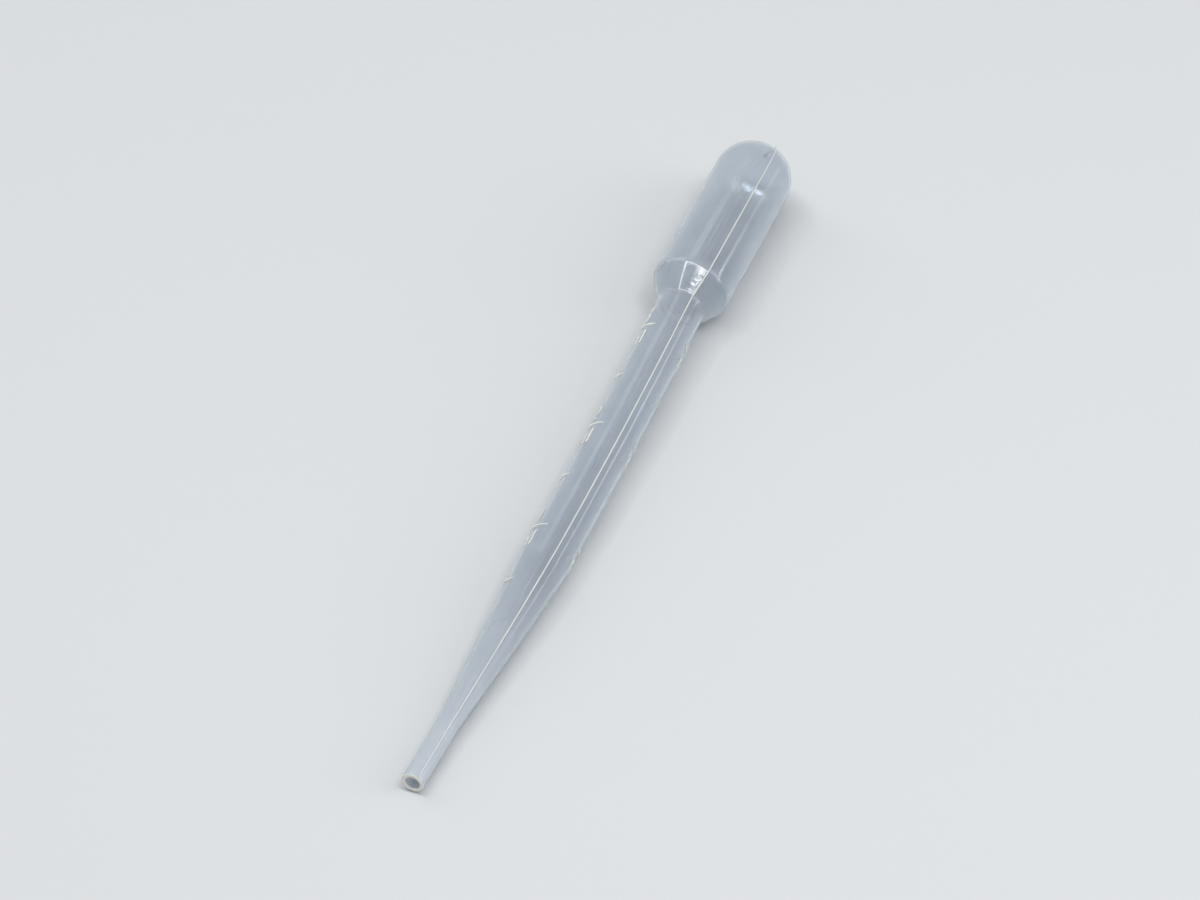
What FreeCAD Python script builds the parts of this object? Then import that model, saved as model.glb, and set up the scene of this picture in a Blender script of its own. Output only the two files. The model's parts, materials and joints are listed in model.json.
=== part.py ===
"""Plastic dropper pipette, about 3 ml: one blow-moulded part of natural low-density polyethylene.

The part is built along its own axis, +X from the open tip to the closed bulb, with the mould's
parting plane at Z = 0. It is then rolled and laid down as it comes to rest on a flat surface.
Millimetres, +Z up, origin on that surface under the middle of the part.
"""
import FreeCAD, Part
import os
from math import atan2, cos, degrees, pi, radians, sin, tan
from FreeCAD import Vector

# Open tip: a straight, narrow tube.
tip_bore = 2.40
tip_wall = 0.62
tip_length = 13.0

# Taper that opens the tip tube out to the stem.
taper_length = 35.0

# Stem: a long straight bore, in a wall that thins a little from its foot to its head.
stem_bore = 7.29
foot_wall = 0.505
head_wall = 0.415

# Squeeze bulb: conical shoulder, straight barrel and a half-round dome.
bulb_od = 13.40
bulb_wall = 0.38
barrel_length = 28.1
shoulder_half_angle = 28.3

# Roundings where one stretch of the outline meets the next.
taper_start_blend = 20.0
taper_end_blend = 12.0
neck_fillet = 1.5
shoulder_rounding = 2.25

# Graduation: a ridge for each half millilitre, long at the whole ones, on both mould halves.
step_volume = 500.0
mark_count = 6
first_mark_from_tip = 42.0
last_mark_to_shoulder = 8.4
ridge_height = 0.20
ridge_width = 0.56
long_ridge_half_angle = 50.0
short_ridge_half_angle = 30.0

# Parting line: the flash that the two mould halves leave all round the part.
flash_height = 0.20
flash_width = 0.24

# How the part lies: the upper parting line leans this far from straight up, and the soft wall is
# pressed in by this much where the bulb and the foot of the stem rest, so that it doesn't roll.
seam_lean = 31.0
rest_flat_depth = 0.10

tip_r = tip_bore / 2 + tip_wall
foot_r = stem_bore / 2 + foot_wall
head_r = stem_bore / 2 + head_wall
bulb_r = bulb_od / 2

# The marks' spacing is the length of bore that holds one step of volume.
mark_pitch = step_volume / (pi * (stem_bore / 2) ** 2)

# Places along the axis, from the tip.
taper_x = tip_length
foot_x = taper_x + taper_length
head_x = first_mark_from_tip + (mark_count - 1) * mark_pitch + last_mark_to_shoulder
barrel_x = head_x + (bulb_r - head_r) / tan(radians(shoulder_half_angle))
dome_x = barrel_x + barrel_length

# Each station: place, outer radius, wall and the rounding of its corner.
stations = [
    (0.0, tip_r, tip_wall, 0.0),
    (taper_x, tip_r, tip_wall, taper_start_blend),
    (foot_x, foot_r, foot_wall, taper_end_blend),
    (head_x, head_r, head_wall, neck_fillet),
    (barrel_x, bulb_r, bulb_wall, shoulder_rounding),
    (dome_x, bulb_r, bulb_wall, 0.0),
]

AXIS = Vector(1, 0, 0)
ORIGIN = Vector(0, 0, 0)


def rounded_edges(corners):
    """Straight edges from corner to corner, each corner rounded by a tangent arc of its own radius."""
    edges = []
    pen = Vector(corners[0][0], corners[0][1], 0)
    for before, corner, after in zip(corners, corners[1:], corners[2:]):
        here = Vector(corner[0], corner[1], 0)
        back = (Vector(before[0], before[1], 0) - here).normalize()
        ahead = (Vector(after[0], after[1], 0) - here).normalize()
        half_turn = (pi - back.getAngle(ahead)) / 2
        reach = corner[2] * tan(half_turn)
        depth = corner[2] / cos(half_turn) - corner[2]
        arc_start = here + back * reach
        arc_middle = here + (back + ahead).normalize() * depth
        arc_end = here + ahead * reach
        edges.append(Part.LineSegment(pen, arc_start).toShape())
        edges.append(Part.Arc(arc_start, arc_middle, arc_end).toShape())
        pen = arc_end
    end = Vector(corners[-1][0], corners[-1][1], 0)
    edges.append(Part.LineSegment(pen, end).toShape())
    return edges


def half_section(start_x, grow):
    """Half of the part's section, from start_x to the dome's top, with every radius grown."""
    corners = [(x, r + grow(wall), rounding) for x, r, wall, rounding in stations]
    corners[0] = (start_x, corners[0][1], 0.0)
    dome_r = corners[-1][1]
    dome_side = Vector(dome_x, dome_r, 0)
    dome_middle = Vector(dome_x + dome_r * sin(pi / 4), dome_r * cos(pi / 4), 0)
    dome_top = Vector(dome_x + dome_r, 0, 0)
    axis_start = Vector(start_x, 0, 0)
    mouth = Vector(start_x, corners[0][1], 0)
    edges = rounded_edges(corners)
    edges.append(Part.Arc(dome_side, dome_middle, dome_top).toShape())
    edges.append(Part.LineSegment(dome_top, axis_start).toShape())
    edges.append(Part.LineSegment(axis_start, mouth).toShape())
    return Part.Face(Part.Wire(edges))


def blown_form():
    """The outside of the part as one solid of revolution."""
    section = half_section(0.0, lambda wall: 0.0)
    return section.revolve(ORIGIN, AXIS, 360)


def cavity():
    """The air inside: bore, taper and bulb, each its own wall in from the outside."""
    beyond_the_mouth = -1.0
    section = half_section(beyond_the_mouth, lambda wall: -wall)
    return section.revolve(ORIGIN, AXIS, 360)


def parting_flash():
    """A plate in the parting plane that stands proud of the outline all round, from tip to tip."""
    section = half_section(0.0, lambda wall: flash_height)
    section.translate(Vector(0, 0, -flash_width / 2))
    upper = section.extrude(Vector(0, 0, flash_width))
    lower = upper.copy()
    lower.rotate(ORIGIN, AXIS, 180)
    return [upper, lower]


def outer_radius(x):
    """Radius of the outside at a place on the taper or the stem."""
    for (x0, r0, _, _), (x1, r1, _, _) in zip(stations, stations[1:]):
        if x0 <= x <= x1:
            return r0 + (r1 - r0) * (x - x0) / (x1 - x0)


def ridge_bead(x, half_angle):
    """A round bead bent into a ring, set off the axis so that only a crescent of it leaves the wall.

    The crescent is ridge_height tall at its middle and runs out to nothing at half_angle. The rest
    of the ring lies in the wall or in the air inside, where the cavity takes it away.
    """
    r = outer_radius(x)
    top = r + ridge_height
    offset = (top ** 2 - r ** 2) / (2 * (top - r * cos(radians(half_angle))))
    bead_r = ridge_width / 2
    return Part.makeTorus(top - offset - bead_r, bead_r, Vector(x, 0, -offset), AXIS)


def graduation():
    """Ridges at every step of volume on both mould halves, long at each whole millilitre."""
    beads = []
    for index in range(mark_count):
        whole = index % 2 == 1
        half_angle = long_ridge_half_angle if whole else short_ridge_half_angle
        bead = ridge_bead(first_mark_from_tip + index * mark_pitch, half_angle)
        twin = bead.copy()
        twin.rotate(ORIGIN, AXIS, 180)
        beads.extend([bead, twin])
    return beads


def outside_form():
    """The outside of the whole moulding: blown form, flash and ridges in one."""
    return blown_form().fuse(parting_flash() + graduation())


def laid_down(outside, hollow):
    """Both shapes rolled, tipped onto the bulb and the foot of the stem, and pressed down to Z = 0."""
    tilt = atan2(bulb_r - foot_r, barrel_x - foot_x)
    for shape in (outside, hollow):
        shape.rotate(ORIGIN, AXIS, 90 + seam_lean)
        shape.rotate(ORIGIN, Vector(0, 1, 0), -degrees(tilt))
    box = outside.optimalBoundingBox(False)
    place = Vector(-box.Center.x, -box.Center.y, -box.ZMin - rest_flat_depth)
    for shape in (outside, hollow):
        shape.translate(place)
    return outside, hollow, tilt


def above(shape, height):
    """The part of a shape that is above a height."""
    box = shape.BoundBox
    corner = Vector(box.XMin - 1, box.YMin - 1, box.ZMin - 1)
    below = Part.makeBox(box.XLength + 2, box.YLength + 2, height - corner.z, corner)
    return shape.cut(below)


# The flat where the bulb rests shows on its inside too, so the wall there keeps its thickness.
outside, hollow, tilt = laid_down(outside_form(), cavity())
body = above(outside, 0).cut(above(hollow, bulb_wall)).removeSplitter().Solids[0]
os.makedirs("parts", exist_ok=True)
body.exportStep("parts/pipette_body.step")

box = body.optimalBoundingBox(False)
print("valid", body.isValid(), "volume mm3 %.1f" % body.Volume)
print("box %.2f x %.2f x %.2f" % (box.XLength, box.YLength, box.ZLength))
print("length %.2f, mark pitch %.3f, tilt %.3f deg" % (dome_x + bulb_r, mark_pitch, degrees(tilt)))
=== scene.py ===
"""Looks of the plastic dropper pipette: one thin blown shell of natural low-density polyethylene.

The shell is turned from the outline of its wall by a Geometry Nodes tree, which also raises the
parting flash, the graduation ridges and the lettering on its outside, and lays it down as it rests.
Lengths are metres. The part's own frame has +X from the open tip to the bulb and the mould's
parting plane at Z = 0, so the two sets of marks are centred on +Z and -Z.
"""
import json
from math import atan2, cos, pi, radians, sin, tan

import bpy
import numpy as np
from mathutils import Matrix, Vector


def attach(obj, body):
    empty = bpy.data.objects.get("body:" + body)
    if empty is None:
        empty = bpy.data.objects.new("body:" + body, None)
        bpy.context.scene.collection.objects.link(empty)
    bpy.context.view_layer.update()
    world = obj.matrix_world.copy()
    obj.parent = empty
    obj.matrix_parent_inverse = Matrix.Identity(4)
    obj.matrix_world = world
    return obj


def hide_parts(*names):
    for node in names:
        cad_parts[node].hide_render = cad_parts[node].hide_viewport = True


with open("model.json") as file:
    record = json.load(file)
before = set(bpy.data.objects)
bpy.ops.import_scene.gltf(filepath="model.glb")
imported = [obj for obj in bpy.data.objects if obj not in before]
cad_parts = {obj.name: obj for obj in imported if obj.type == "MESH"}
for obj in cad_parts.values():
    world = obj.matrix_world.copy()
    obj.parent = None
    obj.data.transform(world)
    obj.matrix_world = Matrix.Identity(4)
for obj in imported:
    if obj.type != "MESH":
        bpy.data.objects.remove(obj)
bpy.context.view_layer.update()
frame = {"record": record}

MM = 0.001

# ---------------------------------------------------------------- sizes of the moulding

tip_bore_r = 1.20 * MM
tip_wall = 0.62 * MM
tip_length = 13.0 * MM
taper_length = 35.0 * MM
stem_bore_r = 3.645 * MM
foot_wall = 0.505 * MM
head_wall = 0.415 * MM
bulb_r = 6.70 * MM
bulb_wall = 0.38 * MM
barrel_length = 28.1 * MM
shoulder_half_angle = radians(28.3)

taper_start_blend = 20.0 * MM
taper_end_blend = 12.0 * MM
neck_fillet = 1.5 * MM
shoulder_rounding = 2.25 * MM
rim_rounding = 0.05 * MM

# How closely the shell's mesh is divided: in degrees round the axis, finely where the marks are; in rows
# along each side of the wall; in steps over each rounding and the dome; in rows over each letter.
fine_half_angle = 27.3
fine_step = 1.3
coarse_step = 4.4
outside_row_gap = 1.6 * MM
inside_row_gap = 3.2 * MM
rounding_steps = 10
outside_dome_steps = 28
inside_dome_steps = 16
letter_rows = 32

# Points of the mesh that are nearer to each other than this become one.
weld_distance = 2e-7

# The graduation: half a millilitre of stem bore from one ridge to the next.
step_volume = 500.0 * MM ** 3
mark_pitch = step_volume / (pi * stem_bore_r ** 2)
mark_count = 6
first_mark = 42.0 * MM
last_mark_to_shoulder = 8.4 * MM
ridge_height = 0.19 * MM
ridge_width = 0.56 * MM
long_ridge_half_angle = radians(50)
short_ridge_half_angle = radians(30)

flash_height = 0.19 * MM
flash_width = 0.24 * MM

# Raised lettering, cut in the mould with a round-nosed cutter in single strokes.
letter_height = 3.0 * MM
letter_gap = 1.4 * MM
letter_relief = 0.13 * MM
letter_stroke = 0.46 * MM

# Places along the part's own axis, from the mouth of the tip.
foot_x = tip_length + taper_length
head_x = first_mark + (mark_count - 1) * mark_pitch + last_mark_to_shoulder
foot_r = stem_bore_r + foot_wall
head_r = stem_bore_r + head_wall
barrel_x = head_x + (bulb_r - head_r) / tan(shoulder_half_angle)
dome_x = barrel_x + barrel_length

# How the part lies: rolled until its upper parting line leans from the vertical, and tipped up
# onto its bulb. The mouth's place and the axis come from the frame's own mount.
seam_lean = radians(31)
tip_mount = frame["record"]["mounts"][0]
mouth = Vector(tip_mount["pos_m"])
along = -Vector(tip_mount["axis"]).normalized()
laid_down = (radians(90) + seam_lean, -atan2(along.z, along.x), 0.0)


def own_direction(turn):
    """The part's own direction that points, as it lies, this far round its axis from straight up."""
    turn -= radians(90) + seam_lean
    return Vector((0.0, -sin(turn), cos(turn)))


# A long thin blown part never cools quite straight: tip, stem and shoulder bow sideways this far.
bow_offset = 1.08 * MM


# ---------------------------------------------------------------- small helpers


def add(tree, kind, inputs=(), **settings):
    """Adds a node with its settings, and feeds its inputs by name or in order from values or nodes."""
    node = tree.nodes.new(kind)
    for name, value in settings.items():
        setattr(node, name, value)
    sockets = [socket for socket in node.inputs if socket.enabled]
    by_name = {socket.name: socket for socket in reversed(sockets)}
    pairs = inputs.items() if isinstance(inputs, dict) else zip(sockets, inputs)
    for socket, value in pairs:
        socket = by_name[socket] if isinstance(socket, str) else socket
        if isinstance(value, bpy.types.Node):
            value = next(output for output in value.outputs if output.enabled)
        if isinstance(value, bpy.types.NodeSocket):
            tree.links.new(value, socket)
        else:
            socket.default_value = value
    return node


def linear(hex_colour):
    """An sRGB hex colour as linear red, green, blue and alpha."""
    channels = [int(hex_colour[i:i + 2], 16) / 255 for i in (1, 3, 5)]
    return [c / 12.92 if c <= 0.04045 else ((c + 0.055) / 1.055) ** 2.4 for c in channels] + [1.0]


def mesh_object(name, points, edges=(), faces=()):
    """A new object with a mesh of these points, edges and faces."""
    mesh = bpy.data.meshes.new(name)
    mesh.from_pydata([tuple(p) for p in points], [tuple(e) for e in edges], [tuple(f) for f in faces])
    thing = bpy.data.objects.new(name, mesh)
    bpy.context.scene.collection.objects.link(thing)
    return thing


# ---------------------------------------------------------------- the wall's outline


def rounded_path(corners, steps):
    """The path through corners of (x, radius, rounding), with each rounding as an arc of points."""
    path = [corners[0][:2]]
    for before, corner, after in zip(corners, corners[1:], corners[2:]):
        here = Vector(corner[:2])
        back = (Vector(before[:2]) - here).normalized()
        ahead = (Vector(after[:2]) - here).normalized()
        half_turn = (pi - back.angle(ahead)) / 2
        centre = here + (back + ahead).normalized() * corner[2] / cos(half_turn)
        start = here + back * corner[2] * tan(half_turn) - centre
        end = here + ahead * corner[2] * tan(half_turn) - centre
        sense = 1 if start.x * end.y - start.y * end.x > 0 else -1
        for step in range(steps + 1):
            turn = sense * 2 * half_turn * step / steps
            spoke = Matrix.Rotation(turn, 2) @ start
            path.append((centre.x + spoke.x, centre.y + spoke.y))
    path.append(corners[-1][:2])
    return path


def wall_path(inset):
    """One side of the wall from mouth to dome: inset 0 is the outside, 1 is the inside."""
    corners = [
        (0.0, tip_bore_r + tip_wall * (1 - inset), 0.0),
        (tip_length, tip_bore_r + tip_wall * (1 - inset), taper_start_blend),
        (foot_x, foot_r - foot_wall * inset, taper_end_blend),
        (head_x, head_r - head_wall * inset, neck_fillet),
        (barrel_x, bulb_r - bulb_wall * inset, shoulder_rounding),
        (dome_x, bulb_r - bulb_wall * inset, 0.0),
    ]
    return rounded_path(corners, rounding_steps)


def resampled(path, places):
    """The path's points, and more of them at these places along the axis."""
    xs, rs = np.array(path).T
    wanted = np.unique(np.round(np.concatenate([xs, places]), 7))
    wanted = wanted[(wanted >= 0) & (wanted <= xs[-1] + 1e-9)]
    return list(zip(wanted, np.interp(wanted, xs, rs)))


def dome_path(radius, steps):
    """The half-round dome from its side to its top."""
    turns = [pi / 2 * step / steps for step in range(1, steps)]
    side = [(dome_x + radius * sin(turn), radius * cos(turn)) for turn in turns]
    return side + [(dome_x + radius, 0.0)]


def row_places():
    """Places along the outside where the relief needs close rows: every ridge and every letter."""
    places = []
    for index in range(mark_count):
        x = first_mark + index * mark_pitch
        places.extend(x + np.linspace(-0.6, 0.6, 17) * ridge_width)
        if index % 2 == 1:
            for side in (-1, 1):
                near, far = letter_gap - letter_stroke, letter_gap + letter_height + letter_stroke
                places.extend(x + side * np.linspace(near, far, letter_rows))
    return places


def wall_outline():
    """The wall's whole section: outside from the dome's top to the mouth, rim, inside back to the top."""
    close = np.arange(0, dome_x, outside_row_gap)
    apart = np.arange(0, dome_x, inside_row_gap)
    behind_ridges = [first_mark + index * mark_pitch + step * ridge_width
                     for index in range(mark_count) for step in (-0.6, -0.3, 0.0, 0.3, 0.6)]
    outside = resampled(wall_path(0), np.concatenate([close, row_places()]))
    outside += dome_path(bulb_r, outside_dome_steps)
    inside = resampled(wall_path(1), np.concatenate([apart, behind_ridges]))
    inside += dome_path(bulb_r - bulb_wall, inside_dome_steps)
    rim_out, rim_in = outside[0][1], inside[0][1]
    outside = [(max(x, rim_rounding), r) for x, r in outside]
    inside = [(max(x, rim_rounding), r) for x, r in inside]
    rim_turns = (0.7, 1.15, pi / 2)
    rim = []
    for turn in rim_turns:
        rim.append((rim_rounding * (1 - sin(turn)), rim_out - rim_rounding * (1 - cos(turn))))
    for turn in rim_turns[::-1]:
        rim.append((rim_rounding * (1 - sin(turn)), rim_in + rim_rounding * (1 - cos(turn))))
    points = outside[::-1] + rim + inside
    is_outside = [1.0] * len(outside) + [0.0] * (len(rim) + len(inside))
    return points, is_outside


# ---------------------------------------------------------------- columns round the axis


def wall_columns():
    """The columns of one turn, each as (distance from the parting plane, angle of its meridian).

    Close to a parting line a column keeps its distance from the parting plane, so the flash is as
    wide on the narrow tip as on the bulb. Further off it keeps its angle. Columns are closer
    together where the marks are.
    """
    near_flash = flash_width / 2 * np.array([0.0, 0.3, 0.55, 0.78, 1.0, 1.3])
    fine = np.radians(np.arange(-fine_half_angle, fine_half_angle + 0.01, fine_step))
    coarse = np.radians(np.arange(fine_half_angle + coarse_step, 90 - coarse_step / 2, coarse_step))
    between = pi / 2 + np.concatenate([-coarse[::-1], fine, coarse])
    columns = []
    for start in (0.0, pi):
        columns += [(distance, start) for distance in near_flash]
        columns += [(near_flash[-1] * (1 - 2 * angle / pi), start + angle) for angle in between]
        columns += [(-distance, start + pi) for distance in near_flash[:0:-1]]
    return [(distance, angle, 0.0) for distance, angle in columns + [(0.0, 2 * pi)]]


# ---------------------------------------------------------------- lettering strokes


def arc_points(centre, radius, start, end, steps=10):
    """Points of an arc, angles in degrees anticlockwise from the right."""
    turns = np.radians(np.linspace(start, end, steps))
    return [(centre[0] + radius[0] * cos(t), centre[1] + radius[1] * sin(t)) for t in turns]


# Single strokes in a box one unit high, u to the reader's right and v up.
GLYPHS = {
    "1": [[(-0.16, 0.80), (0.04, 1.0), (0.04, 0.0)]],
    "2": [arc_points((0, 0.72), (0.27, 0.28), 165, -38) + [(-0.29, 0.0), (0.30, 0.0)]],
    "3": [arc_points((-0.02, 0.76), (0.25, 0.24), 150, -90)
          + arc_points((-0.02, 0.26), (0.29, 0.26), 90, -150)],
    "m": [[(-0.50, 0.0), (-0.50, 0.66)],
          [(-0.50, 0.44)] + arc_points((-0.27, 0.43), (0.23, 0.22), 160, 0) + [(-0.04, 0.0)],
          [(-0.04, 0.44)] + arc_points((0.19, 0.43), (0.23, 0.22), 160, 0) + [(0.42, 0.0)]],
    "l": [[(0.0, 0.0), (0.0, 1.0)]],
}


def lettering_strokes():
    """Every stroke of the numerals above and the units below the whole millilitres, on the wall."""
    outside = np.array(wall_path(0)).T
    points, edges = [], []
    for index in range(1, mark_count, 2):
        mark_x = first_mark + index * mark_pitch
        words = [
            (str((index + 1) // 2), 0.0, mark_x + letter_gap),
            ("m", -0.22, mark_x - letter_gap - letter_height),
            ("l", 0.52, mark_x - letter_gap - letter_height),
        ]
        for glyph, shift, base_x in words:
            for stroke in GLYPHS[glyph]:
                for side in (1, 3):
                    first = len(points)
                    for u, v in stroke:
                        x = base_x + v * letter_height
                        r = np.interp(x, *outside)
                        angle = side * pi / 2 + (u + shift) * letter_height / r
                        points.append((x, r * cos(angle), r * sin(angle)))
                    edges.extend((i, i + 1) for i in range(first, len(points) - 1))
    return points, edges


# ---------------------------------------------------------------- the shell's Geometry Nodes tree

tree_inputs = {
    "Flash Height": flash_height,
    "Flash Width": flash_width,
    "First Mark": first_mark,
    "Mark Pitch": mark_pitch,
    "Last Mark": float(mark_count - 1),
    "Ridge Height": ridge_height,
    "Ridge Width": ridge_width,
    "Short Ridge Half Angle": short_ridge_half_angle,
    "Long Ridge Half Angle": long_ridge_half_angle,
    "Letter Relief": letter_relief,
    "Letter Stroke": letter_stroke,
    "Bow Length": barrel_x,
    "Bow Offset": bow_offset,
    "Bulb Wall": bulb_wall,
}


def blown_shell_tree():
    """Turns the outline in the input mesh into the shell, raises its relief and lays it down."""
    tree = bpy.data.node_groups.new("blown shell", "GeometryNodeTree")
    tree.interface.new_socket("Outline", in_out="INPUT", socket_type="NodeSocketGeometry")
    tree.interface.new_socket("Shell", in_out="OUTPUT", socket_type="NodeSocketGeometry")
    for name in tree_inputs:
        tree.interface.new_socket(name, in_out="INPUT", socket_type="NodeSocketFloat")
    for name in ("Columns", "Strokes"):
        tree.interface.new_socket(name, in_out="INPUT", socket_type="NodeSocketObject")
    for name in ("Mouth", "Laid Down"):
        tree.interface.new_socket(name, in_out="INPUT", socket_type="NodeSocketVector")
    tree.interface.new_socket("Plastic", in_out="INPUT", socket_type="NodeSocketMaterial")
    given = tree.nodes.new("NodeGroupInput").outputs
    position = add(tree, "GeometryNodeInputPosition")

    # One grid holds the whole shell: a row for each point of the outline, a column for each way round.
    columns = add(tree, "GeometryNodeObjectInfo", {"Object": given["Columns"]}).outputs["Geometry"]
    row_count = add(tree, "GeometryNodeAttributeDomainSize", [given["Outline"]])
    column_count = add(tree, "GeometryNodeAttributeDomainSize", [columns])
    shell = add(tree, "GeometryNodeMeshGrid", {"Vertices X": row_count, "Vertices Y": column_count})
    index = add(tree, "GeometryNodeInputIndex")
    row = add(tree, "FunctionNodeIntegerMath", [index, column_count], operation="DIVIDE_FLOOR")
    column = add(tree, "FunctionNodeIntegerMath", [index, column_count], operation="MODULO")
    row_point = add(
        tree, "GeometryNodeSampleIndex", [given["Outline"], position, row], data_type="FLOAT_VECTOR")
    column_point = add(
        tree, "GeometryNodeSampleIndex", [columns, position, column], data_type="FLOAT_VECTOR")
    is_outside = add(tree, "GeometryNodeInputNamedAttribute", {"Name": "outside"})
    row_outside = add(tree, "GeometryNodeSampleIndex", [given["Outline"], is_outside, row])
    shell = add(tree, "GeometryNodeStoreNamedAttribute", {
        "Geometry": shell, "Name": "outside", "Value": row_outside})

    # Each row's point is turned round the axis to its column's angle. The merge closes the turn and the
    # top of the dome.
    radius = add(tree, "ShaderNodeSeparateXYZ", [row_point]).outputs["Y"]
    from_plane = add(tree, "ShaderNodeSeparateXYZ", [column_point])
    lead = add(tree, "ShaderNodeMath", [from_plane, radius], operation="DIVIDE")
    lead = add(tree, "ShaderNodeClamp", {"Value": lead, "Min": -1.0, "Max": 1.0})
    angle = add(tree, "ShaderNodeMath", [from_plane.outputs["Y"], lead], operation="ADD")
    turned = add(tree, "ShaderNodeVectorRotate", {
        "Vector": row_point, "Angle": angle}, rotation_type="X_AXIS")
    shell = add(tree, "GeometryNodeSetPosition", {"Geometry": shell, "Position": turned})
    shell = add(tree, "GeometryNodeMergeByDistance", {"Geometry": shell, "Distance": weld_distance})

    # Flash: a round bead along the parting plane, over the dome too.
    own = add(tree, "ShaderNodeSeparateXYZ", [position])
    from_parting = add(tree, "ShaderNodeMath", [own.outputs["Z"]], operation="ABSOLUTE")
    half_width = add(tree, "ShaderNodeMath", [given["Flash Width"], 0.5], operation="MULTIPLY")
    across = add(tree, "ShaderNodeMapRange", {
        "Value": from_parting, "From Max": half_width, "To Max": pi / 2})
    bead = add(tree, "ShaderNodeMath", [across], operation="COSINE")
    flash = add(tree, "ShaderNodeMath", [bead, given["Flash Height"]], operation="MULTIPLY")

    # Ridges: the nearest mark's number tells whether it is a whole millilitre, and so how long it is.
    from_first = add(tree, "ShaderNodeMath", [own.outputs["X"], given["First Mark"]], operation="SUBTRACT")
    steps_up = add(tree, "ShaderNodeMath", [from_first, given["Mark Pitch"]], operation="DIVIDE")
    mark = add(tree, "ShaderNodeMath", [steps_up], operation="ROUND")
    mark = add(tree, "ShaderNodeClamp", {"Value": mark, "Max": given["Last Mark"]})
    is_whole = add(tree, "ShaderNodeMath", [mark, 2.0], operation="MODULO")
    half_angle = add(tree, "ShaderNodeMix", {
        "Factor": is_whole, "A": given["Short Ridge Half Angle"], "B": given["Long Ridge Half Angle"]})
    edge = add(tree, "ShaderNodeMath", [half_angle], operation="COSINE")
    around = add(tree, "ShaderNodeVectorMath", [position, (0.0, 1.0, 1.0)], operation="MULTIPLY")
    around = add(tree, "ShaderNodeVectorMath", [around], operation="NORMALIZE")
    around = add(tree, "ShaderNodeVectorMath", [around], operation="ABSOLUTE")
    from_side = add(tree, "ShaderNodeSeparateXYZ", [around]).outputs["Z"]
    crest = add(tree, "ShaderNodeMapRange", {
        "Value": from_side, "From Min": edge, "To Max": given["Ridge Height"]})
    steps_off = add(tree, "ShaderNodeMath", [steps_up, mark], operation="SUBTRACT")
    off_mark = add(tree, "ShaderNodeMath", [steps_off, given["Mark Pitch"]], operation="MULTIPLY")
    off_mark = add(tree, "ShaderNodeMath", [off_mark], operation="ABSOLUTE")
    half_width = add(tree, "ShaderNodeMath", [given["Ridge Width"], 0.5], operation="MULTIPLY")
    across = add(tree, "ShaderNodeMapRange", {
        "Value": off_mark, "From Max": half_width, "To Max": pi / 2})
    bead = add(tree, "ShaderNodeMath", [across], operation="COSINE")
    drop = add(tree, "ShaderNodeMath", [bead, 1.0], operation="SUBTRACT")
    ridge = add(tree, "ShaderNodeMath", [drop, given["Ridge Height"], crest], operation="MULTIPLY_ADD")

    # Letters: a round bead along each stroke.
    strokes = add(tree, "GeometryNodeObjectInfo", {"Object": given["Strokes"]}).outputs["Geometry"]
    to_stroke = add(tree, "GeometryNodeProximity", [strokes], target_element="EDGES").outputs["Distance"]
    half_width = add(tree, "ShaderNodeMath", [given["Letter Stroke"], 0.5], operation="MULTIPLY")
    across = add(tree, "ShaderNodeMapRange", {
        "Value": to_stroke, "From Max": half_width, "To Max": pi / 2})
    bead = add(tree, "ShaderNodeMath", [across], operation="COSINE")
    letters = add(tree, "ShaderNodeMath", [bead, given["Letter Relief"]], operation="MULTIPLY")

    # How proud the wall is stays on the mesh for the material, behind the relief on the inside too, with
    # the flash counted as half as proud. The relief itself stands on the outside of the wall only.
    relief = add(tree, "ShaderNodeMath", [flash, ridge], operation="MAXIMUM")
    relief = add(tree, "ShaderNodeMath", [relief, letters], operation="MAXIMUM")
    thin_flash = add(tree, "ShaderNodeMath", [flash, -0.5], operation="MULTIPLY")
    whiter = add(tree, "ShaderNodeMath", [relief, thin_flash], operation="ADD")
    proud = add(tree, "ShaderNodeMath", [whiter, given["Ridge Height"]], operation="DIVIDE")
    shell = add(tree, "GeometryNodeStoreNamedAttribute", {"Geometry": shell, "Name": "proud", "Value": proud})
    relief = add(tree, "ShaderNodeMath", [relief, is_outside], operation="MULTIPLY")
    normal = add(tree, "GeometryNodeInputNormal")
    raised = add(tree, "ShaderNodeVectorMath", {"Vector": normal, "Scale": relief}, operation="SCALE")
    shell = add(tree, "GeometryNodeSetPosition", {"Geometry": shell, "Offset": raised})
    shell = add(tree, "GeometryNodeTransform", {
        "Geometry": shell, "Translation": given["Mouth"], "Rotation": given["Laid Down"]})

    # From the mouth to the barrel it bows sideways, on half a wave of a sine.
    from_mouth = add(tree, "ShaderNodeVectorMath", [position, given["Mouth"]], operation="SUBTRACT")
    from_mouth = add(tree, "ShaderNodeSeparateXYZ", [from_mouth])
    arc = add(tree, "ShaderNodeMapRange", {
        "Value": from_mouth, "From Max": given["Bow Length"], "To Max": pi})
    bow = add(tree, "ShaderNodeMath", [arc], operation="SINE")
    bow = add(tree, "ShaderNodeMath", [bow, given["Bow Offset"]], operation="MULTIPLY")
    sideways = add(tree, "ShaderNodeVectorMath", {
        "Vector": (0.0, -1.0, 0.0), "Scale": bow}, operation="SCALE")
    shell = add(tree, "GeometryNodeSetPosition", {"Geometry": shell, "Offset": sideways})

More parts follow.
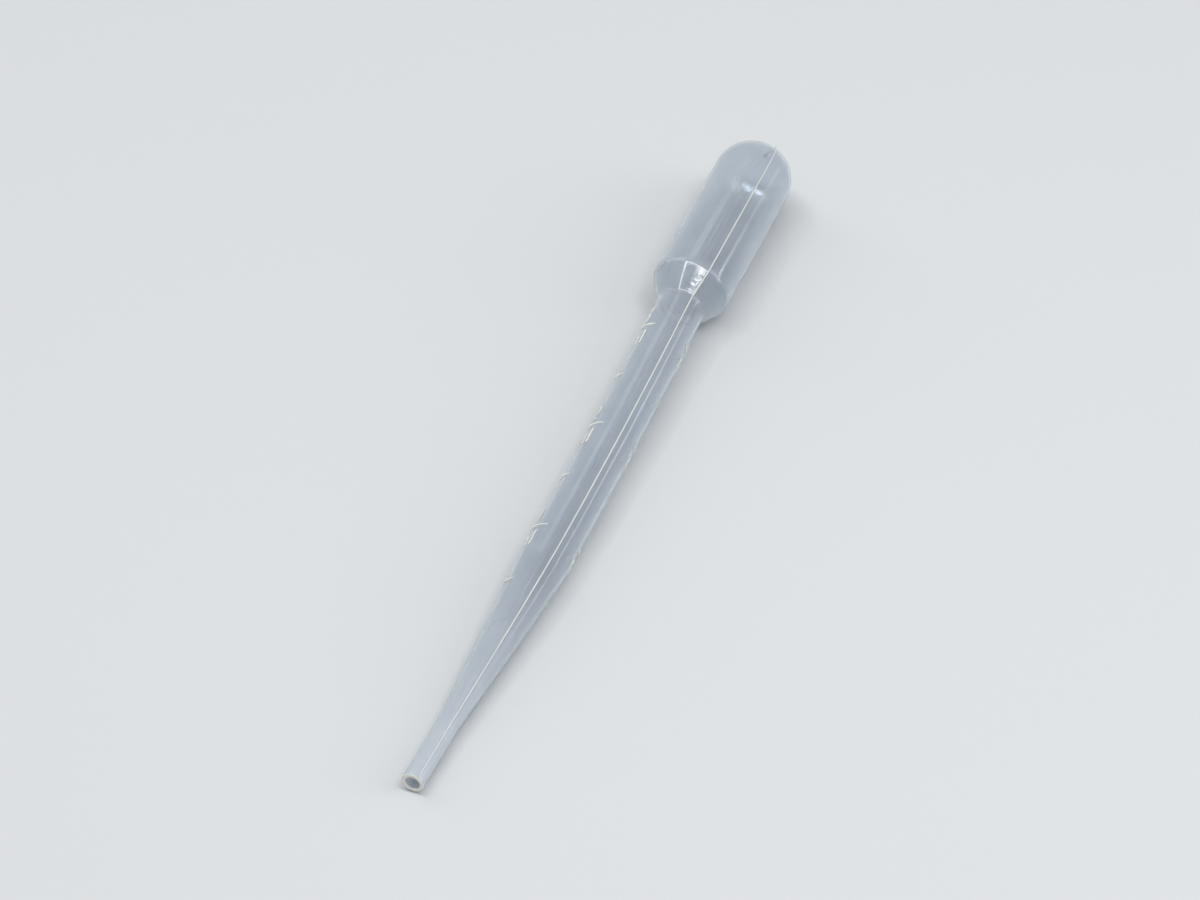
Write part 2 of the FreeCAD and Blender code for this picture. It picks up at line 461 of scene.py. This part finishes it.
    # Where it rests the soft wall is pressed flat, outside on the floor and inside a wall above it.
    lowest = add(tree, "ShaderNodeMath", [1.0, is_outside], operation="SUBTRACT")
    lowest = add(tree, "ShaderNodeMath", [lowest, given["Bulb Wall"]], operation="MULTIPLY")
    lowest = add(tree, "ShaderNodeCombineXYZ", {"X": -1.0, "Y": -1.0, "Z": lowest})
    pressed = add(tree, "ShaderNodeVectorMath", [position, lowest], operation="MAXIMUM")
    shell = add(tree, "GeometryNodeSetPosition", {"Geometry": shell, "Position": pressed})
    shell = add(tree, "GeometryNodeSetShadeSmooth", [shell])
    shell = add(tree, "GeometryNodeRealizeInstances", [shell])
    shell = add(tree, "GeometryNodeSetMaterial", {"Geometry": shell, "Material": given["Plastic"]})
    add(tree, "NodeGroupOutput", {"Shell": shell})
    return tree


def blown_shell(plastic):
    """The pipette's shell as a plain mesh, made by the tree from its outline, columns and strokes."""
    points, is_outside = wall_outline()
    chain = [(i, i + 1) for i in range(len(points) - 1)]
    outline = mesh_object("outline", [(x, r, 0.0) for x, r in points], chain)
    outline.data.attributes.new("outside", "FLOAT", "POINT").data.foreach_set("value", is_outside)
    columns = mesh_object("columns", wall_columns())
    strokes = mesh_object("strokes", *lettering_strokes())
    tree = blown_shell_tree()
    given = dict(tree_inputs)
    given["Columns"] = columns
    given["Strokes"] = strokes
    given["Mouth"] = tuple(mouth)
    given["Laid Down"] = laid_down
    given["Plastic"] = plastic
    modifier = outline.modifiers.new("blown shell", "NODES")
    modifier.node_group = tree
    for socket in tree.interface.items_tree:
        if socket.in_out == "INPUT" and socket.name in given:
            modifier[socket.identifier] = given[socket.name]
    evaluated = outline.evaluated_get(bpy.context.evaluated_depsgraph_get())
    mesh = bpy.data.meshes.new_from_object(evaluated)
    mesh.name = "pipette shell"
    mesh.materials.pop(index=0)
    shell = bpy.data.objects.new("pipette_shell", mesh)
    bpy.context.scene.collection.objects.link(shell)
    for helper in (outline, columns, strokes):
        bpy.data.objects.remove(helper)
    return shell


# ---------------------------------------------------------------- materials


def blown_polyethylene():
    """Natural low-density polyethylene, blow-moulded: a milky blue-grey haze with a soft gloss."""
    material = bpy.data.materials.new("natural polyethylene, blow-moulded")
    material.use_nodes = True
    tree = material.node_tree
    tree.nodes.clear()

    # The part's own frame, in metres: X along it, Y and Z across.
    place = add(tree, "ShaderNodeTexCoord").outputs["Object"]
    own = add(tree, "ShaderNodeMapping", {
        "Vector": place, "Location": mouth, "Rotation": laid_down}, vector_type="TEXTURE")

    # Die lines keep their angle as the soft tube is blown out: 40 mm long, 0.1 radian apart.
    around = add(tree, "ShaderNodeVectorMath", [own, (0.0, 1.0, 1.0)], operation="MULTIPLY")
    around = add(tree, "ShaderNodeVectorMath", [around], operation="NORMALIZE")
    spread = add(tree, "ShaderNodeVectorMath", [around, (0.0, 10.0, 10.0)], operation="MULTIPLY")
    lengthwise = (1 / (40 * MM), 0.0, 0.0)
    die_place = add(tree, "ShaderNodeVectorMath", [own, lengthwise, spread], operation="MULTIPLY_ADD")
    die_lines = add(tree, "ShaderNodeTexNoise", {"Vector": die_place, "Scale": 1.0, "Detail": 3.0})
    haze = add(tree, "ShaderNodeTexNoise", {"Vector": own, "Scale": 1 / (6 * MM), "Detail": 2.0})
    mixed = add(tree, "ShaderNodeMath", [die_lines, haze], operation="ADD")
    share = add(tree, "ShaderNodeMath", [mixed, 0.5], operation="MULTIPLY")
    share = add(tree, "ShaderNodeMapRange", {"Value": share, "From Min": 0.3, "From Max": 0.7})
    haze_colour = add(tree, "ShaderNodeMix", {
        "Factor": share, "A": linear("#DAE2EB"), "B": linear("#E8EEF3")}, data_type="RGBA")

    # Flash, ridges, letters and the cut end of the tip are thicker to look through, so they read whiter,
    # and the two corners of the shoulder do so faintly.
    proud = add(tree, "ShaderNodeAttribute", attribute_name="proud").outputs["Fac"]
    from_mouth = add(tree, "ShaderNodeSeparateXYZ", [own])
    near_mouth = add(tree, "ShaderNodeMapRange", {
        "Value": from_mouth, "From Min": 0.16 * MM, "From Max": 0.06 * MM})
    proud = add(tree, "ShaderNodeMapRange", {"Value": proud, "From Min": 0.05, "From Max": 0.5})
    thick = add(tree, "ShaderNodeMath", [proud, near_mouth], operation="MAXIMUM")
    for corner_x, reach, strength in ((head_x, 0.5 * MM, 0.10), (barrel_x, 0.3 * MM, 0.15)):
        from_corner = add(tree, "ShaderNodeMath", [from_mouth, corner_x], operation="SUBTRACT")
        from_corner = add(tree, "ShaderNodeMath", [from_corner], operation="ABSOLUTE")
        near_corner = add(tree, "ShaderNodeMapRange", {
            "Value": from_corner, "From Max": reach, "To Min": strength, "To Max": 0.0})
        thick = add(tree, "ShaderNodeMath", [thick, near_corner], operation="MAXIMUM")

    # Painted light: low on the shoulder the inside of the wall is painted warmer and milkier, from a sharp
    # edge at the neck, a painted glow of the light that the inside of the wall scatters.
    neck_light_direction = own_direction(radians(230))
    facing = add(tree, "ShaderNodeVectorMath", [around, neck_light_direction], operation="DOT_PRODUCT")
    underside = add(tree, "ShaderNodeMapRange", {
        "Value": facing.outputs["Value"], "From Min": 0.35, "From Max": 0.95})
    past_neck = add(tree, "ShaderNodeMapRange", {
        "Value": from_mouth, "From Min": head_x - 0.2 * MM, "From Max": head_x})
    painted_neck_glow = add(tree, "ShaderNodeMapRange", {
        "Value": from_mouth, "From Min": head_x + 1.5 * MM, "From Max": barrel_x,
        "To Min": 0.6, "To Max": 0.0})
    painted_neck_glow = add(tree, "ShaderNodeMath", [painted_neck_glow, past_neck], operation="MULTIPLY")
    painted_neck_glow = add(tree, "ShaderNodeMath", [painted_neck_glow, underside], operation="MULTIPLY")

    # The cooling wall puckered in two places: beside the parting line on the shoulder, and underneath
    # where the dome begins. There painted warm threads cross it too, painted glints of the lamps in the
    # dome's inner wall, and a coat stands for the many small creases that glint. The coat's IOR is well above
    # a plastic's, so that the glint shows.
    patches = []
    shoulder_patch = ((head_x + barrel_x) / 2, 3.2 * MM, radians(26), radians(14))
    dome_patch = (dome_x + 2.5 * MM, 2.4 * MM, radians(188), radians(46))
    for middle_x, reach, turn, half_width in (shoulder_patch, dome_patch):
        from_middle = add(tree, "ShaderNodeMath", [from_mouth, middle_x], operation="SUBTRACT")
        from_middle = add(tree, "ShaderNodeMath", [from_middle], operation="ABSOLUTE")
        near_middle = add(tree, "ShaderNodeMapRange", {
            "Value": from_middle, "From Min": 0.3 * reach, "From Max": reach, "To Min": 1.0, "To Max": 0.0})
        facing = add(tree, "ShaderNodeVectorMath", [around, own_direction(turn)], operation="DOT_PRODUCT")
        facing = add(tree, "ShaderNodeMapRange", {
            "Value": facing.outputs["Value"], "From Min": cos(half_width), "From Max": cos(half_width / 2)})
        patches.append(add(tree, "ShaderNodeMath", [near_middle, facing], operation="MULTIPLY"))
    puckered_dome = patches[1]
    puckers = add(tree, "ShaderNodeTexNoise", {"Vector": own, "Scale": 1 / (0.6 * MM), "Detail": 2.0})
    puckered = add(tree, "ShaderNodeMath", patches, operation="MAXIMUM")
    puckered = add(tree, "ShaderNodeMath", [puckered, puckers], operation="MULTIPLY")
    pucker_to_die_line = 24.0
    height = add(tree, "ShaderNodeMath", [puckered, pucker_to_die_line, die_lines], operation="MULTIPLY_ADD")
    painted_glint_threads = add(tree, "ShaderNodeTexNoise", {"Vector": own, "Scale": 1 / (1.2 * MM), "Detail": 2.0})
    painted_glint_threads = add(tree, "ShaderNodeMath", [painted_glint_threads, 0.5], operation="SUBTRACT")
    painted_glint_threads = add(tree, "ShaderNodeMath", [painted_glint_threads], operation="ABSOLUTE")
    painted_glint_threads = add(tree, "ShaderNodeMapRange", {
        "Value": painted_glint_threads, "From Max": 0.05, "To Min": 0.6, "To Max": 0.05})
    painted_glint_threads = add(tree, "ShaderNodeMath", [painted_glint_threads, puckered_dome], operation="MULTIPLY")
    outside = add(tree, "ShaderNodeAttribute", attribute_name="outside").outputs["Fac"]
    inside = add(tree, "ShaderNodeMath", [1.0, outside], operation="SUBTRACT")
    # Painted light: the painted glow low on the shoulder and the painted glints at the dome, mixed in warm
    # cream below and made milkier.
    painted_light = add(tree, "ShaderNodeMath", [painted_neck_glow, painted_glint_threads], operation="MAXIMUM")
    painted_light = add(tree, "ShaderNodeMath", [painted_light, inside], operation="MULTIPLY")
    colour = add(tree, "ShaderNodeMix", {
        "Factor": thick, "A": haze_colour, "B": linear("#F5F2EB")}, data_type="RGBA")
    colour = add(tree, "ShaderNodeMix", {
        "Factor": painted_light, "A": colour, "B": linear("#FFF8EA")}, data_type="RGBA")

    # Seen edge on, the same wall is a longer way through the haze, so its edges are milkier.
    edge_on = add(tree, "ShaderNodeLayerWeight", {"Blend": 0.5}).outputs["Facing"]
    edge_on = add(tree, "ShaderNodeMapRange", {"Value": edge_on, "From Min": 0.4, "To Max": 0.45})

    # Round the lower parting line what is thick stays clear, or it would show as a dark band through the
    # wall above it. Only the rim of the mouth is milky there too.
    lower_flash = own_direction(seam_lean + pi)
    facing = add(tree, "ShaderNodeVectorMath", [around, lower_flash], operation="DOT_PRODUCT")
    hides = add(tree, "ShaderNodeMapRange", {
        "Value": facing.outputs["Value"], "From Min": 0.85, "From Max": 0.95, "To Min": 1.0, "To Max": 0.0})
    hides = add(tree, "ShaderNodeMath", [hides, near_mouth], operation="MAXIMUM")
    milky = add(tree, "ShaderNodeMath", [thick, hides], operation="MULTIPLY")
    milky = add(tree, "ShaderNodeMath", [milky, painted_light], operation="MAXIMUM")
    milky = add(tree, "ShaderNodeMath", [milky, edge_on], operation="MAXIMUM")

    # The wall is thicker, and the bore narrower, towards the tip.
    near_tip = add(tree, "ShaderNodeMapRange", {
        "Value": from_mouth, "From Min": 0.0, "From Max": foot_x, "To Min": 0.5, "To Max": 0.0})
    milky = add(tree, "ShaderNodeMath", [milky, near_tip], operation="MAXIMUM")
    clear = add(tree, "ShaderNodeMapRange", {"Value": milky, "To Min": 0.83, "To Max": 0.1})
    rough = add(tree, "ShaderNodeMapRange", {"Value": share, "To Min": 0.05, "To Max": 0.10})
    bump = add(tree, "ShaderNodeBump", {"Height": height, "Strength": 0.07, "Distance": 0.06 * MM})
    surface = add(tree, "ShaderNodeBsdfPrincipled", {
        "Base Color": colour,
        "Roughness": rough,
        "IOR": 1.51,
        "Normal": bump,
        "Transmission Weight": clear,
        "Coat Weight": puckered_dome,
        "Coat Roughness": 0.03,
        "Coat IOR": 2.1,
        "Coat Normal": bump,
    })
    add(tree, "ShaderNodeOutputMaterial", {"Surface": surface})
    return material


# The plain backdrop that the camera sees past the floor.
backdrop_colour = linear("#D9DBDD")


def what_is_seen(tree):
    """1 for a ray that the camera, a mirror or a clear body sends out, 0 for one that gathers light."""
    rays = add(tree, "ShaderNodeLightPath").outputs
    seen = add(tree, "ShaderNodeMath", [rays["Is Camera Ray"], rays["Is Glossy Ray"]], operation="MAXIMUM")
    return add(tree, "ShaderNodeMath", [seen, rays["Is Transmission Ray"]], operation="MAXIMUM")


def studio_floor():
    """Matt pale laminate that keeps the object's shadow, and runs out into the backdrop's colour."""
    material = bpy.data.materials.new("matt pale laminate")
    material.use_nodes = True
    tree = material.node_tree
    tree.nodes.clear()
    surface = add(tree, "ShaderNodeBsdfPrincipled", {
        "Base Color": linear("#D6D8DA"), "Roughness": 0.85, "Specular IOR Level": 0.2})
    place = add(tree, "ShaderNodeTexCoord").outputs["Object"]
    reach = add(tree, "ShaderNodeVectorMath", [place], operation="LENGTH").outputs["Value"]
    far_off = add(tree, "ShaderNodeMapRange", {
        "Value": reach, "From Min": 0.2, "From Max": 0.9}, interpolation_type="SMOOTHSTEP")
    far_off = add(tree, "ShaderNodeMath", [far_off, what_is_seen(tree)], operation="MULTIPLY")
    sweep = add(tree, "ShaderNodeEmission", {"Color": backdrop_colour, "Strength": 1.0})
    surface = add(tree, "ShaderNodeMixShader", [far_off, surface, sweep])
    add(tree, "ShaderNodeOutputMaterial", {"Surface": surface})
    return material


# ---------------------------------------------------------------- the object

shell = blown_shell(blown_polyethylene())
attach(shell, "root")
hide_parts("pipette_body")

# ---------------------------------------------------------------- floor, lights and camera

floor_half = 4.0
floor_corners = [(-floor_half, -floor_half, 0), (floor_half, -floor_half, 0),
                 (floor_half, floor_half, 0), (-floor_half, floor_half, 0)]
floor = mesh_object("floor", floor_corners, faces=[(0, 1, 2, 3)])
floor.data.materials.append(studio_floor())


def softbox(name, place, side_direction, size, power):
    """A rectangular lamp at a place, facing the part, with its first side along a direction."""
    lamp = bpy.data.lights.new(name, "AREA")
    lamp.shape = "RECTANGLE"
    lamp.size, lamp.size_y = size
    lamp.energy = power
    holder = bpy.data.objects.new(name, lamp)
    away = Vector(place).normalized()
    side = Vector(side_direction)
    side = (side - away * away.dot(side)).normalized()
    turned = Matrix((side, away.cross(side), away)).transposed()
    holder.matrix_world = Matrix.Translation(place) @ turned.to_4x4()
    holder.visible_camera = False
    bpy.context.scene.collection.objects.link(holder)


# Three lamps over the part, like the lit edges of a light tent's roof: they frame the near side of the
# shoulder with bright lines. Each direction is the one that the shoulder reflects to the camera.
roof_height = 0.9
shoulder = mouth + along * (head_x + barrel_x) / 2
roof_wide = Vector((-0.20, -0.437, 0.878))
roof_left = Vector((-0.14, 0.406, 0.904))
roof_far = Vector((-0.165, 0.0, 0.985))
softbox("roof lamp, wide", shoulder + roof_wide * roof_height, (1, 0, 0), (0.22, 0.19), 1.31)
softbox("roof lamp, left", shoulder + roof_left * roof_height, (1, 0, 0), (0.22, 0.055), 0.41)
softbox("roof lamp, far", shoulder + roof_far * roof_height, roof_left - roof_wide, (0.77, 0.12), 3.2)
# Two large softboxes, behind on the left and on the right, placed so that the shoulder and the neck
# don't mirror their ends.
softbox("back softbox", (0.26, 0.92, 0.66), (1, 0, 0), (0.40, 1.00), 1.9)
softbox("right softbox", (0.18, -0.90, 0.50), (1, 0, 0), (0.44, 0.85), 2.6)
# Dim lamps past the bulb: two draw soft lines down the stem, two draw fainter ones down the bulb.
softbox("low lamp, stem", (0.50, -0.72, 0.24), (1, 0, 0), (0.32, 0.10), 0.24)
softbox("low lamp, bulb", (0.76, -0.72, 0.24), (1, 0, 0), (0.18, 0.14), 0.035)
softbox("rear lamp, stem", (0.59, 0.26, 0.73), (1, 0, 0), (0.18, 0.24), 0.097)
softbox("rear lamp, bulb", (0.78, 0.26, 0.73), (1, 0, 0), (0.18, 0.24), 0.035)

world = bpy.data.worlds.new("studio")
bpy.context.scene.world = world
world.use_nodes = True
world.node_tree.nodes.clear()
fill = add(world.node_tree, "ShaderNodeBackground", {"Color": linear("#E4E6E8"), "Strength": 0.46})
backdrop = add(world.node_tree, "ShaderNodeBackground", {"Color": backdrop_colour, "Strength": 1.0})
sky = add(world.node_tree, "ShaderNodeMixShader", [what_is_seen(world.node_tree), fill, backdrop])
add(world.node_tree, "ShaderNodeOutputWorld", {"Surface": sky})

view_azimuth = radians(-67.83)
view_elevation = radians(44.03)
view_distance = 0.8874
aim = Vector((0.0, -0.0002, 0.0055))
back = Vector((
    sin(view_azimuth) * cos(view_elevation),
    -cos(view_azimuth) * cos(view_elevation),
    sin(view_elevation)))
lens = bpy.data.cameras.new("camera")
lens.lens = 165.9
lens.sensor_width = 36.0
lens.clip_start = 0.01
camera = bpy.data.objects.new("camera", lens)
camera.location = aim + back * view_distance
camera.rotation_euler = (-back).to_track_quat("-Z", "Y").to_euler()
bpy.context.scene.collection.objects.link(camera)
bpy.context.scene.camera = camera

bpy.context.scene.view_settings.view_transform = "Standard"
